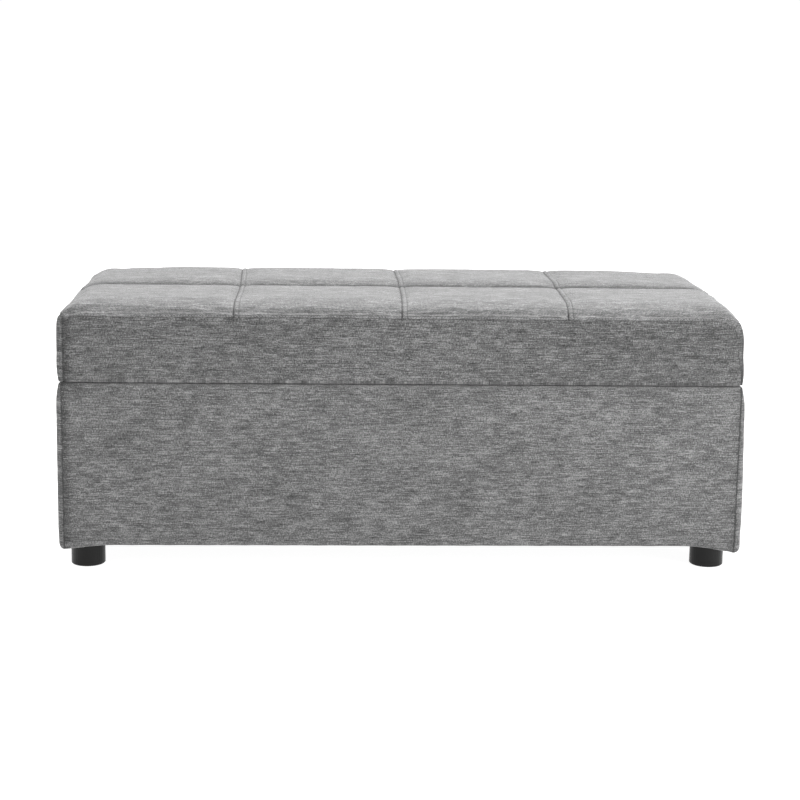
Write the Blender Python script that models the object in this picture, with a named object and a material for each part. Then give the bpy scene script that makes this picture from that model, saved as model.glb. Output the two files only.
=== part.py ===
"""Upholstered storage bench: a padded box on four feet with a hinged, quilted lid.

Metres, +Z up. The bench stands on z = 0, its front faces -Y, and the origin is under the centre of its
bounding box. The lid turns about the pins of two butt hinges along the top rear edge.
"""

import math

import bmesh
import bpy
from mathutils import Matrix, Vector

# Driving dimensions
LENGTH = 1.100
FRONT_Y = -0.215
REAR_Y = 0.2082
FOOT_HEIGHT = 0.039
TOP_Z = 0.436
GAP = 0.0003

# Hinge axis, just behind the rear upholstery and level with the parting line
AXIS_Y = REAR_Y + 0.0036
AXIS_Z = 0.3055

# Box carcass
BOARD = 0.015
FLOOR_BOARD = 0.012
COVER = 0.0047
REAR_COVER = 0.0039
COVER_BOTTOM = FOOT_HEIGHT - 0.0005
COVER_TOP = AXIS_Z - 0.0003
DUST_SHEET = 0.001
LINING = 0.0012
BATTEN = 0.020
BATTEN_TOP = 0.285

# Lid
LID_SHEET = 0.001
LID_BOARD = 0.015
QUILT = 0.0142
QUILT_RADIUS = 0.006
GROOVE_DEPTH = 0.0055
GROOVE_HALF_WIDTH = 0.007
GROOVE_Y = (FRONT_Y + REAR_Y) / 2

# Feet and their fixings
FOOT_RADIUS = 0.0275
FOOT_END_INSET = 0.041
FOOT_SIDE_INSET = 0.043
STUD_RADIUS = 0.004
STUD_BORE_DEPTH = 0.020

# Butt hinges
HINGE_X = 0.33
HINGE_LENGTH = 0.070
LEAF = 0.0015
LEAF_CLEARANCE = 0.0002
LEAF_DEPTH = 0.0185
KNUCKLE_RADIUS = 0.0032
HINGE_PIN_RADIUS = 0.0015
KNUCKLES = 5
SCREW_OFFSET_X = 0.024
SCREW_HEAD_RADIUS = 0.003
SCREW_RADIUS = 0.0016
SCREW_LENGTH = 0.0135

# Lid stays: each is a parallelogram of hinge axis, wall pivot, elbow and lid pivot
STAY_WALL_PIVOT = (0.210, -0.042)
STAY_LID_PIVOT = (0.105, -0.013)
ARM_THICKNESS = 0.002
ARM_HALF_WIDTH = 0.007
PIVOT_RADIUS = 0.003
PIVOT_HOLE = 0.0031
OPEN_PIVOT_HOLE = 0.0034
RIVET_HEAD_RADIUS = 0.005
RIVET_HEAD = 0.001

ROUND_SEGMENTS = 16
FOOT_SEGMENTS = 40


def clear_scene():
    for obj in list(bpy.data.objects):
        bpy.data.objects.remove(obj, do_unlink=True)


def material(name, colour, roughness, metallic=0.0):
    made = bpy.data.materials.new(name)
    made.use_nodes = True
    shader = made.node_tree.nodes["Principled BSDF"]
    shader.inputs["Base Color"].default_value = (*colour, 1.0)
    shader.inputs["Roughness"].default_value = roughness
    shader.inputs["Metallic"].default_value = metallic
    return made


def pivot_empty(name, location, parent=None):
    """An empty that carries a body's pieces and stands on its joint's axis."""
    empty = bpy.data.objects.new(name, None)
    bpy.context.collection.objects.link(empty)
    empty.empty_display_size = 0.03
    if parent:
        empty.parent = parent
        location = Vector(location) - parent.matrix_world.translation
    empty.location = location
    bpy.context.view_layer.update()
    return empty


def add_object(name, mesh_work, location, parent, finish):
    """Turns a bmesh built around the local origin into an object at a world location."""
    bmesh.ops.recalc_face_normals(mesh_work, faces=mesh_work.faces)
    mesh = bpy.data.meshes.new(name)
    mesh_work.to_mesh(mesh)
    mesh_work.free()
    obj = bpy.data.objects.new(name, mesh)
    bpy.context.collection.objects.link(obj)
    obj.parent = parent
    obj.location = Vector(location) - parent.matrix_world.translation
    if finish:
        mesh.materials.append(finish)
    return obj


def shade_round(obj):
    obj.data.shade_smooth()
    obj.data.set_sharp_from_angle(angle=math.radians(35))


def cutter(name, mesh_work, location, parent):
    """A hidden solid that a Boolean takes away or joins."""
    obj = add_object(name, mesh_work, location, parent, None)
    obj.hide_render = True
    obj.display_type = "WIRE"
    return obj


def boolean(target, operand, operation="DIFFERENCE"):
    modifier = target.modifiers.new(operand.name, "BOOLEAN")
    modifier.operation = operation
    modifier.solver = "EXACT"
    modifier.object = operand


def block_mesh(size):
    mesh_work = bmesh.new()
    bmesh.ops.create_cube(mesh_work, size=1.0, matrix=Matrix.Diagonal((*size, 1.0)))
    return mesh_work


def block(name, low, high, parent, finish):
    """A rectangular piece between two corners, with its origin at its centre."""
    low, high = Vector(low), Vector(high)
    return add_object(name, block_mesh(high - low), (low + high) / 2, parent, finish)


def prism_mesh(outline, low, high):
    """A solid with a plan outline in X and Y between two heights."""
    mesh_work = bmesh.new()
    bottom = [mesh_work.verts.new((x, y, low)) for x, y in outline]
    top = [mesh_work.verts.new((x, y, high)) for x, y in outline]
    mesh_work.faces.new(reversed(bottom))
    mesh_work.faces.new(top)
    for i in range(len(outline)):
        j = (i + 1) % len(outline)
        mesh_work.faces.new((bottom[i], bottom[j], top[j], top[i]))
    return mesh_work


def turned_mesh(profile, axis="Z", segments=ROUND_SEGMENTS):
    """A solid of revolution. The profile lists (radius, height) pairs from one end of the axis to the other."""
    mesh_work = bmesh.new()
    rings = []
    for radius, height in profile:
        if radius == 0.0:
            rings.append([mesh_work.verts.new((0, 0, height))])
            continue
        angles = [math.tau * (i + 0.5) / segments for i in range(segments)]
        ring = [
            mesh_work.verts.new((radius * math.cos(a), radius * math.sin(a), height))
            for a in angles
        ]
        rings.append(ring)
    for first, second in zip(rings, rings[1:]):
        for i in range(segments):
            j = (i + 1) % segments
            corners = [first[i % len(first)], first[j % len(first)]]
            corners += [second[j % len(second)], second[i % len(second)]]
            mesh_work.faces.new(list(dict.fromkeys(corners)))
    if axis == "X":
        bmesh.ops.rotate(mesh_work, verts=mesh_work.verts, matrix=Matrix.Rotation(math.pi / 2, 3, "Y"))
    return mesh_work


def rod_mesh(radius, start, end, axis="Z"):
    return turned_mesh([(0.0, start), (radius, start), (radius, end), (0.0, end)], axis)


def stadium(start, end, half_width, steps=10):
    """Outline of a flat bar with round ends, from one centre to the other."""
    start, end = Vector(start), Vector(end)
    heading = math.atan2(end.y - start.y, end.x - start.x)
    outline = []
    for centre, first in ((end, heading - math.pi / 2), (start, heading + math.pi / 2)):
        for i in range(steps + 1):
            angle = first + math.pi * i / steps
            outline.append(
                (centre.x + half_width * math.cos(angle), centre.y + half_width * math.sin(angle))
            )
    return outline


def side_plate_mesh(outline, inner_x, outer_x):
    """A plate that stands across X, with its outline given in Y and Z."""
    mesh_work = prism_mesh(outline, inner_x, outer_x)
    for vertex in mesh_work.verts:
        y, z, x = vertex.co
        vertex.co = (x, y, z)
    return mesh_work


def mitred_band(prefix, spans, parent, finish):
    """Four upholstered walls round the rectangle, mitred where they are sewn at the corners."""
    outer_x = LENGTH / 2
    inner_x = outer_x - COVER
    inner_front = FRONT_Y + COVER
    inner_rear = REAR_Y - REAR_COVER
    for side, y, inner_y in (("front", FRONT_Y, inner_front), ("rear", REAR_Y, inner_rear)):
        outline = [(outer_x - GAP, y), (inner_x - GAP, inner_y)]
        outline += [(GAP - inner_x, inner_y), (GAP - outer_x, y)]
        low, high = spans[side]
        work = prism_mesh([(x, y_) for x, y_ in outline], low, high)
        add_object(f"{prefix}_{side}", work, (0, 0, 0), parent, finish)
    for side, sign in (("left", -1), ("right", 1)):
        outline = [(sign * outer_x, FRONT_Y), (sign * outer_x, REAR_Y)]
        outline += [(sign * inner_x, inner_rear), (sign * inner_x, inner_front)]
        low, high = spans["ends"]
        add_object(f"{prefix}_{side}", prism_mesh(outline, low, high), (0, 0, 0), parent, finish)


def cylinder_cutter(name, radius, centre, low, high, parent):
    return cutter(name, rod_mesh(radius, low, high), (centre[0], centre[1], 0), parent)


# Faces that several pieces share
BOARD_X = LENGTH / 2 - COVER - GAP
BOARD_FRONT = FRONT_Y + COVER + GAP
BOARD_REAR = REAR_Y - REAR_COVER - GAP
ROOM_X = BOARD_X - BOARD - GAP
ROOM_FRONT = BOARD_FRONT + BOARD + GAP
ROOM_REAR = BOARD_REAR - BOARD - GAP
DUST_Z = FOOT_HEIGHT + GAP
CARCASS_Z = DUST_Z + DUST_SHEET + GAP
BOARD_TOP = AXIS_Z - LEAF - LEAF_CLEARANCE - GAP
FLOOR_TOP = CARCASS_Z + FLOOR_BOARD
LEAF_SCREW_Y = BOARD_REAR - BOARD / 2
LINING_X = ROOM_X - LINING
FOOT_PLACES = {
    f"{depth}_{side}": (sign * (LENGTH / 2 - FOOT_END_INSET), y)
    for side, sign in (("left", -1), ("right", 1))
    for depth, y in (("front", FRONT_Y + FOOT_SIDE_INSET), ("rear", REAR_Y - FOOT_SIDE_INSET))
}


def leaf_screw_places():
    for side, sign in (("left", -1), ("right", 1)):
        for end, offset in (("outer", SCREW_OFFSET_X), ("inner", -SCREW_OFFSET_X)):
            yield f"{side}_{end}", sign * (HINGE_X + offset)


def build_carcass(box, finishes):
    wood = finishes["board"]
    block(
        "front_board",
        (-BOARD_X, BOARD_FRONT, CARCASS_Z),
        (BOARD_X, BOARD_FRONT + BOARD, BOARD_TOP),
        box,
        wood,
    )
    rear = block(
        "rear_board",
        (-BOARD_X, BOARD_REAR - BOARD, CARCASS_Z),
        (BOARD_X, BOARD_REAR, BOARD_TOP),
        box,
        wood,
    )
    for place, x in leaf_screw_places():
        hole = cylinder_cutter(
            f"cut_rear_board_{place}",
            SCREW_RADIUS + 0.0003,
            (x, LEAF_SCREW_Y),
            BOARD_TOP - SCREW_LENGTH,
            BOARD_TOP + 0.005,
            box,
        )
        boolean(rear, hole)
    for side, sign in (("left", -1), ("right", 1)):
        xs = sorted((sign * BOARD_X, sign * (BOARD_X - BOARD)))
        block(
            f"{side}_end_board",
            (xs[0], ROOM_FRONT, CARCASS_Z),
            (xs[1], ROOM_REAR, BOARD_TOP),
            box,
            wood,
        )
        for depth, y in (("front", ROOM_FRONT), ("rear", ROOM_REAR - BATTEN)):
            xs = sorted((sign * ROOM_X, sign * (ROOM_X - BATTEN)))
            block(
                f"corner_batten_{depth}_{side}",
                (xs[0], y, FLOOR_TOP + GAP),
                (xs[1], y + BATTEN, BATTEN_TOP),
                box,
                finishes["batten"],
            )
    floor = block(
        "bottom_board",
        (-ROOM_X, ROOM_FRONT, CARCASS_Z),
        (ROOM_X, ROOM_REAR, FLOOR_TOP),
        box,
        wood,
    )
    sheet = block(
        "dust_cover",
        (-BOARD_X, BOARD_FRONT, DUST_Z),
        (BOARD_X, BOARD_REAR, DUST_Z + DUST_SHEET),
        box,
        finishes["lining"],
    )
    for place, centre in FOOT_PLACES.items():
        for name, target in (("floor", floor), ("dust", sheet)):
            hole = cylinder_cutter(f"cut_{name}_{place}", STUD_RADIUS + GAP, centre, 0.03, 0.08, box)
            boolean(target, hole)


def lining_outline(inset):
    """Plan of the cavity lining, which steps round the corner battens."""
    x = ROOM_X - inset
    front = ROOM_FRONT + inset
    rear = ROOM_REAR - inset
    step = BATTEN + GAP
    corner_x = ROOM_X - step - inset
    corner_front = ROOM_FRONT + step + inset
    corner_rear = ROOM_REAR - step - inset
    quarter = [(corner_x, front), (corner_x, corner_front), (x, corner_front)]
    quarter += [(x, corner_rear), (corner_x, corner_rear), (corner_x, rear)]
    return quarter + [(-px, py) for px, py in reversed(quarter)]


def build_lining(box, finishes):
    low = FLOOR_TOP + GAP
    high = BATTEN_TOP
    work = prism_mesh(lining_outline(0.0), low, high)
    lining = add_object("cavity_lining", work, (0, 0, 0), box, finishes["lining"])
    hollow = prism_mesh(lining_outline(LINING), low + LINING, high + 0.01)
    boolean(lining, cutter("cut_lining", hollow, (0, 0, 0), box))


def build_feet(box, finishes):
    chamfer = 0.0015
    bore_floor = FOOT_HEIGHT - STUD_BORE_DEPTH
    foot_profile = [
        (0.0, 0.0),
        (FOOT_RADIUS - chamfer, 0.0),
        (FOOT_RADIUS, chamfer),
        (FOOT_RADIUS, FOOT_HEIGHT),
        (STUD_RADIUS + GAP, FOOT_HEIGHT),
        (STUD_RADIUS + GAP, bore_floor),
        (0.0, bore_floor),
    ]
    stud_top = FLOOR_TOP - 0.001
    for place, (x, y) in FOOT_PLACES.items():
        foot = add_object(
            f"foot_{place}",
            turned_mesh(foot_profile, segments=FOOT_SEGMENTS),
            (x, y, 0),
            box,
            finishes["foot"],
        )
        shade_round(foot)
        work = rod_mesh(STUD_RADIUS, bore_floor + GAP, stud_top)
        shade_round(add_object(f"foot_stud_{place}", work, (x, y, 0), box, finishes["steel"]))


def knuckle_outline(direction, reach):
    """Y and Z outline of one knuckle and the tab that joins it to its leaf, reaching that far forward."""
    near = direction * LEAF_CLEARANCE
    far = direction * (LEAF_CLEARANCE + LEAF)
    first = math.pi - math.asin(near / KNUCKLE_RADIUS)
    last = math.pi - math.asin(far / KNUCKLE_RADIUS)
    sweep = math.tau - abs(last - first)
    steps = ROUND_SEGMENTS
    outline = []
    for i in range(steps + 1):
        angle = first + direction * sweep * i / steps
        outline.append(
            (AXIS_Y + KNUCKLE_RADIUS * math.cos(angle), AXIS_Z + KNUCKLE_RADIUS * math.sin(angle))
        )
    return outline + [(AXIS_Y - reach, AXIS_Z + far), (AXIS_Y - reach, AXIS_Z + near)]


def leaf_object(name, x, direction, knuckles, parent, finish):
    """One hinge leaf. direction is -1 for the box's leaf, under the axis, and 1 for the lid's, over it."""
    flat_near = direction * LEAF_CLEARANCE
    flat_far = direction * (LEAF_CLEARANCE + LEAF)
    low, high = sorted((AXIS_Z + flat_near, AXIS_Z + flat_far))
    half = HINGE_LENGTH / 2
    edge = AXIS_Y - KNUCKLE_RADIUS - 0.0006
    leaf = block(name, (x - half, edge - LEAF_DEPTH, low), (x + half, edge, high), parent, finish)
    pitch = HINGE_LENGTH / KNUCKLES
    for k in knuckles:
        start = x - half + k * pitch + GAP / 2
        knuckle = side_plate_mesh(knuckle_outline(direction, 0.006), start, start + pitch - GAP)
        operand = cutter(f"join_{name}_knuckle_{k}", knuckle, (0, 0, 0), parent)
        boolean(leaf, operand, "UNION")
    eye = cutter(
        f"cut_{name}_eye",
        rod_mesh(HINGE_PIN_RADIUS + 0.0001, -half - 0.002, half + 0.002, "X"),
        (x, AXIS_Y, AXIS_Z),
        parent,
    )
    boolean(leaf, eye)
    return leaf


def screw_profile(direction):
    """Countersunk screw, listed from its tip to its head, which faces the hinge's parting plane."""
    head = direction * (LEAF_CLEARANCE + 0.0001)
    neck = direction * (LEAF_CLEARANCE + LEAF)
    tip = direction * SCREW_LENGTH
    point = direction * (SCREW_LENGTH - 0.002)
    return [(0.0, tip), (SCREW_RADIUS, point), (SCREW_RADIUS, neck), (SCREW_HEAD_RADIUS, head), (0.0, head)]


def build_hinges(box, lid, finishes):
    steel = finishes["steel"]
    for side, sign in (("left", -1), ("right", 1)):
        x = sign * HINGE_X
        own = [k for k in range(KNUCKLES) if k % 2 == 0]
        other = [k for k in range(KNUCKLES) if k % 2 == 1]
        leaves = (
            (f"hinge_box_leaf_{side}", -1, own, box),
            (f"hinge_lid_leaf_{side}", 1, other, lid),
        )
        for name, direction, knuckles, parent in leaves:
            leaf = leaf_object(name, x, direction, knuckles, parent, steel)
            for offset in (-SCREW_OFFSET_X, SCREW_OFFSET_X):
                inner = direction * (LEAF_CLEARANCE - 0.0001)
                outer = direction * (LEAF_CLEARANCE + LEAF + 0.0001)
                profile = [(0.0, outer), (SCREW_RADIUS + 0.0002, outer)]
                profile += [(SCREW_HEAD_RADIUS + 0.0004, inner), (0.0, inner)]
                work = turned_mesh(profile)
                sink = cutter(
                    f"cut_{name}_{'a' if offset < 0 else 'b'}",
                    work,
                    (x + offset, LEAF_SCREW_Y, AXIS_Z),
                    parent,
                )
                boolean(leaf, sink)
        half = HINGE_LENGTH / 2 + 0.0004
        profile = [(0.0, -half - 0.001), (0.0024, -half - 0.001), (0.0024, -half)]
        profile += [(HINGE_PIN_RADIUS, -half), (HINGE_PIN_RADIUS, half), (0.0024, half)]
        profile += [(0.0024, half + 0.001), (0.0, half + 0.001)]
        pin = add_object(f"hinge_pin_{side}", turned_mesh(profile, "X"), (x, AXIS_Y, AXIS_Z), box, steel)
        shade_round(pin)
    for place, x in leaf_screw_places():
        for name, direction, parent in (("box", -1, box), ("lid", 1, lid)):
            screw = add_object(
                f"hinge_screw_{name}_{place}",
                turned_mesh(screw_profile(direction)),
                (x, LEAF_SCREW_Y, AXIS_Z),
                parent,
                steel,
            )
            shade_round(screw)


def quilt_section(top):
    """Cross-section of the quilted top in Y and Z: two padded halves with a sewn groove between them."""
    base = TOP_Z - QUILT
    radius = QUILT_RADIUS
    steps = 4
    points = [(FRONT_Y, base)]
    for i in range(steps + 1):
        angle = math.pi - math.pi / 2 * i / steps
        points.append((FRONT_Y + radius + radius * math.cos(angle), top - radius + radius * math.sin(angle)))
    points.append((GROOVE_Y - GROOVE_HALF_WIDTH, top))
    points.append((GROOVE_Y, top - GROOVE_DEPTH))
    points.append((GROOVE_Y + GROOVE_HALF_WIDTH, top))
    for i in range(steps + 1):
        angle = math.pi / 2 - math.pi / 2 * i / steps
        points.append((REAR_Y - radius + radius * math.cos(angle), top - radius + radius * math.sin(angle)))
    points.append((REAR_Y, base))
    return points


def quilt_mesh():
    """The quilted top, lofted along X with its ends rounded down."""
    steps = 4
    stations = []
    for i in range(steps + 1):
        angle = math.pi / 2 * i / steps
        x = LENGTH / 2 - QUILT_RADIUS + QUILT_RADIUS * math.cos(angle)
        stations.append((x, TOP_Z - QUILT_RADIUS + QUILT_RADIUS * math.sin(angle)))
    sections = [(-x, top) for x, top in stations] + list(reversed(stations))
    mesh_work = bmesh.new()
    rings = []
    for x, top in sections:
        rings.append([mesh_work.verts.new((x, y, z)) for y, z in quilt_section(top)])
    mesh_work.faces.new(rings[0])
    mesh_work.faces.new(reversed(rings[-1]))
    for first, second in zip(rings, rings[1:]):
        for i in range(len(first)):
            j = (i + 1) % len(first)
            mesh_work.faces.new((first[i], second[i], second[j], first[j]))
    return mesh_work


def build_lid(lid, finishes):
    sheet_low = AXIS_Z + LEAF_CLEARANCE + LEAF + GAP
    board_low = sheet_low + LID_SHEET + GAP
    foam_low = board_low + LID_BOARD + GAP
    foam_high = TOP_Z - QUILT - GAP
    sheet = block(
        "lid_lining",
        (-BOARD_X, BOARD_FRONT, sheet_low),
        (BOARD_X, BOARD_REAR, sheet_low + LID_SHEET),
        lid,
        finishes["lining"],
    )
    board = block(
        "lid_board",
        (-BOARD_X, BOARD_FRONT, board_low),
        (BOARD_X, BOARD_REAR, board_low + LID_BOARD),
        lid,
        finishes["board"],
    )
    for place, x in leaf_screw_places():
        centre = (x, LEAF_SCREW_Y)
        high = AXIS_Z + SCREW_LENGTH + 0.0005
        boolean(sheet, cylinder_cutter(f"cut_sheet_{place}", 0.0020, centre, AXIS_Z, high, lid))
        low = AXIS_Z + 0.001
        boolean(board, cylinder_cutter(f"cut_lid_board_{place}", 0.0019, centre, low, high, lid))
    halves = (
        ("foam_front", BOARD_FRONT, GROOVE_Y - GAP / 2),
        ("foam_rear", GROOVE_Y + GAP / 2, BOARD_REAR),
    )
    for name, front, rear in halves:
        block(name, (-BOARD_X, front, foam_low), (BOARD_X, rear, foam_high), lid, finishes["foam"])
    spans = {
        "front": (AXIS_Z + 0.0004, foam_high),
        "ends": (AXIS_Z + 0.0004, foam_high),
        "rear": (sheet_low, foam_high),
    }
    mitred_band("lid_boxing", spans, lid, finishes["fabric"])
    add_object("quilted_top", quilt_mesh(), (0, 0, 0), lid, finishes["fabric"])


def from_axis(ahead, above):
    """A point in Y and Z given as its distance in front of and above the hinge axis."""
    return Vector((AXIS_Y - ahead, AXIS_Z + above))


def rivet_profile(wall_face, room_face, shoulder=None):
    """Rivet along X with a head outside each face and a spacer shoulder between two arms."""
    far = wall_face + GAP
    near = room_face - GAP
    profile = [(0.0, far + RIVET_HEAD), (RIVET_HEAD_RADIUS, far + RIVET_HEAD)]
    profile += [(RIVET_HEAD_RADIUS, far), (PIVOT_RADIUS, far)]
    if shoulder:
        outer, inner = shoulder
        profile += [(PIVOT_RADIUS, outer), (0.0045, outer), (0.0045, inner), (PIVOT_RADIUS, inner)]
    profile += [(PIVOT_RADIUS, near), (RIVET_HEAD_RADIUS, near)]
    profile += [(RIVET_HEAD_RADIUS, near - RIVET_HEAD), (0.0, near - RIVET_HEAD)]
    return profile


def add_rivet(name, profile, sign, point, parent, finish):
    mirrored = [(radius, sign * x) for radius, x in profile]
    work = turned_mesh(mirrored, "X")
    shade_round(add_object(name, work, (0, point.x, point.y), parent, finish))


def pierce(target, name, radius, point, sign, x_range, parent):
    low, high = sorted(sign * x for x in x_range)
    boolean(target, cutter(name, rod_mesh(radius, low, high, "X"), (0, point.x, point.y), parent))


def build_stay(side, sign, box, lid, finishes):
    """Folding stay inside one end wall: wall bracket, two arms, lid bracket and their rivets."""
    steel = finishes["stay"]
    bracket_wall = LINING_X - GAP
    bracket_room = bracket_wall - ARM_THICKNESS
    lower_wall = bracket_room - 0.0007
    lower_room = lower_wall - ARM_THICKNESS
    upper_wall = lower_room - 0.0018
    upper_room = upper_wall - ARM_THICKNESS
    wall_point = from_axis(*STAY_WALL_PIVOT)
    lid_point = from_axis(*STAY_LID_PIVOT)
    elbow = wall_point + lid_point - from_axis(0, 0)
    lower_body = pivot_empty(f"axis_lower_arm_{side}", (0, *wall_point), box)
    upper_body = pivot_empty(f"axis_upper_arm_{side}", (0, *elbow), lower_body)
    through = (upper_room - 0.01, bracket_wall + 0.01)

    plate = side_plate_mesh(
        [
            (wall_point.x - 0.016, wall_point.y - 0.018),
            (wall_point.x + 0.016, wall_point.y - 0.018),
            (wall_point.x + 0.016, wall_point.y + 0.029),
            (wall_point.x - 0.016, wall_point.y + 0.029),
        ],
        *sorted((sign * bracket_room, sign * bracket_wall)),
    )
    bracket = add_object(f"stay_wall_bracket_{side}", plate, (0, 0, 0), box, steel)
    stop_width = 0.0050
    stop_front = wall_point.x + 0.0076
    stop_depth = bracket_room + 0.0005 - lower_room
    stop = cutter(
        f"join_stop_{side}",
        block_mesh((stop_depth, stop_width, 0.010)),
        (
            sign * (lower_room + stop_depth / 2),
            stop_front + stop_width / 2,
            wall_point.y + 0.021,
        ),
        box,
    )
    boolean(bracket, stop, "UNION")
    pierce(bracket, f"cut_wall_bracket_{side}", PIVOT_HOLE, wall_point, sign, through, box)

    arms = (
        ("lower", lower_body, wall_point, elbow, lower_room, lower_wall, PIVOT_HOLE),
        ("upper", upper_body, elbow, lid_point, upper_room, upper_wall, OPEN_PIVOT_HOLE),
    )
    for name, body, start, end, inner, outer, end_hole in arms:
        xs = sorted((sign * inner, sign * outer))
        work = side_plate_mesh(stadium(start, end, ARM_HALF_WIDTH), *xs)
        arm = add_object(f"stay_{name}_arm_{side}", work, (0, 0, 0), body, steel)
        pierce(arm, f"cut_{name}_arm_start_{side}", PIVOT_HOLE, start, sign, through, body)
        pierce(arm, f"cut_{name}_arm_end_{side}", end_hole, end, sign, through, body)

    flange_high = AXIS_Z + LEAF_CLEARANCE + LEAF
    flange_low = flange_high - ARM_THICKNESS
    xs = sorted((sign * lower_wall, sign * (lower_wall - 0.030)))
    bracket = block(
        f"stay_lid_bracket_{side}",
        (xs[0], lid_point.x - 0.018, flange_low),
        (xs[1], lid_point.x + 0.018, flange_high),
        lid,
        steel,
    )
    ear = side_plate_mesh(
        stadium(lid_point, lid_point + Vector((0, flange_high - 0.001 - lid_point.y)), 0.009),
        *sorted((sign * lower_room, sign * lower_wall)),
    )
    for vertex in ear.verts:
        vertex.co.z = min(vertex.co.z, flange_high - 0.0005)
    boolean(bracket, cutter(f"join_lid_ear_{side}", ear, (0, 0, 0), lid), "UNION")
    pierce(bracket, f"cut_lid_ear_{side}", PIVOT_HOLE, lid_point, sign, through, lid)

    wall_profile = [(0.0, bracket_wall - 0.0001), (PIVOT_RADIUS, bracket_wall - 0.0001)]
    near = lower_room - GAP
    wall_profile += [(PIVOT_RADIUS, near), (RIVET_HEAD_RADIUS, near)]
    wall_profile += [(RIVET_HEAD_RADIUS, near - 0.0009), (0.0, near - 0.0009)]
    add_rivet(f"stay_wall_rivet_{side}", wall_profile, sign, wall_point, box, steel)
    spacer = (lower_room - GAP, upper_wall + GAP)
    profile = rivet_profile(lower_wall, upper_room, spacer)
    add_rivet(f"stay_elbow_rivet_{side}", profile, sign, elbow, lower_body, steel)
    add_rivet(f"stay_lid_rivet_{side}", profile, sign, lid_point, lid, steel)


def main():
    clear_scene()
    finishes = {
        "fabric": material("grey_weave", (0.20, 0.20, 0.20), 0.95),
        "foam": material("pale_foam", (0.78, 0.74, 0.60), 0.95),
        "board": material("particle_board", (0.52, 0.40, 0.26), 0.80),
        "batten": material("pine", (0.62, 0.47, 0.29), 0.70),
        "lining": material("black_non_woven", (0.03, 0.03, 0.03), 0.95),
        "foot": material("black_plastic", (0.02, 0.02, 0.02), 0.40),
        "steel": material("zinc_steel", (0.60, 0.60, 0.58), 0.35, 1.0),
        "stay": material("black_steel", (0.03, 0.03, 0.03), 0.45, 0.6),
    }
    box = pivot_empty("axis_box", (0, 0, 0))
    lid = pivot_empty("axis_lid", (0, AXIS_Y, AXIS_Z), box)
    build_carcass(box, finishes)
    build_lining(box, finishes)
    spans = {
        "front": (COVER_BOTTOM, COVER_TOP),
        "ends": (COVER_BOTTOM, COVER_TOP),
        "rear": (COVER_BOTTOM, BOARD_TOP),
    }
    mitred_band("box_cover", spans, box, finishes["fabric"])
    build_feet(box, finishes)
    build_hinges(box, lid, finishes)
    build_lid(lid, finishes)
    for side, sign in (("left", -1), ("right", 1)):
        build_stay(side, sign, box, lid, finishes)


main()
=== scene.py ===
import bmesh
import bpy
import math
import numpy as np
from mathutils import Matrix, Vector, noise
from mathutils.bvhtree import BVHTree


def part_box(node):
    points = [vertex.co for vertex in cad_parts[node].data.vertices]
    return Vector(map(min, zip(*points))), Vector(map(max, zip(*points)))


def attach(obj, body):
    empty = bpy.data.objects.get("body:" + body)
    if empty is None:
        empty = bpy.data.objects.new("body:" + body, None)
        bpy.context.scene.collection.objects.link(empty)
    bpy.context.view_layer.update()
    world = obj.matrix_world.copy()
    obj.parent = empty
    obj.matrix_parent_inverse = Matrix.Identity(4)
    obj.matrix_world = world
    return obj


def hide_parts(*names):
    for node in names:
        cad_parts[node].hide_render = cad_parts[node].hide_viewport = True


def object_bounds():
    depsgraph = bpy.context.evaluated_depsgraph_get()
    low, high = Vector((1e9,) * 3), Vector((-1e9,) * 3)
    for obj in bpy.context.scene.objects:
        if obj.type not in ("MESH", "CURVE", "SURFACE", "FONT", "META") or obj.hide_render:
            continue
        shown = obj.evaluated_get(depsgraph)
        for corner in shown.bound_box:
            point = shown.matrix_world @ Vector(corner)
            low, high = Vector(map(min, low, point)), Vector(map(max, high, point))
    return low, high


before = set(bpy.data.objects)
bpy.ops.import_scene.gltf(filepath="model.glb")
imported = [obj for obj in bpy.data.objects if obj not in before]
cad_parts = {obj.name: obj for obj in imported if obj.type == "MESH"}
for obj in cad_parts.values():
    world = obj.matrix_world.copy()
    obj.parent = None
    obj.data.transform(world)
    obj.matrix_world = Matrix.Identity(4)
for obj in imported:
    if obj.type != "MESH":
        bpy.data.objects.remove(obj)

MM = 0.001
CAD_LO, CAD_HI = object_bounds()


def save_size():
    """Brings the scene's view layer up to date."""
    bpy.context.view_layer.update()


save_size()


def span(*nodes):
    """Lowest and highest corner of several CAD nodes together."""
    boxes = [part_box(node) for node in nodes]
    lo = np.min([list(b[0]) for b in boxes], axis=0)
    hi = np.max([list(b[1]) for b in boxes], axis=0)
    return lo, hi


SIDES = ("front", "rear", "left", "right")
LID_LO, LID_HI = span("quilted_top", *["lid_boxing_" + s for s in SIDES])
BOX_LO, BOX_HI = span(*["box_cover_" + s for s in SIDES])

STEP = 6 * MM
SEAM_LINES = np.array([-6.0, -3.6, -1.8, -0.7, 0.0, 0.7, 1.8, 3.6, 6.0, 7.3, 8.0, 8.7, 10.5]) * MM
LID_SEAMS = (LID_LO[0] + 12 * MM, LID_HI[0] - 6 * MM)
BOX_SEAMS = (BOX_LO[0] + 8 * MM, BOX_HI[0] - 6 * MM)
PARTING_Z = (LID_LO[2] + BOX_HI[2]) / 2
GROOVE_Y = (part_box("foam_front")[1].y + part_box("foam_rear")[0].y) / 2
CROSS_SEAMS = (-0.2675, -0.0015, 0.263)
CROSS_BOW = 2.5 * MM
CROSS_FRONT_DRIFT = 2.8 * MM
CROSS_SPREAD = 0.018
BAND_WIDTH = 8 * MM
SEAM_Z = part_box("quilted_top")[0].z - 9.5 * MM
END_SEAM_RISE = 3 * MM
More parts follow.
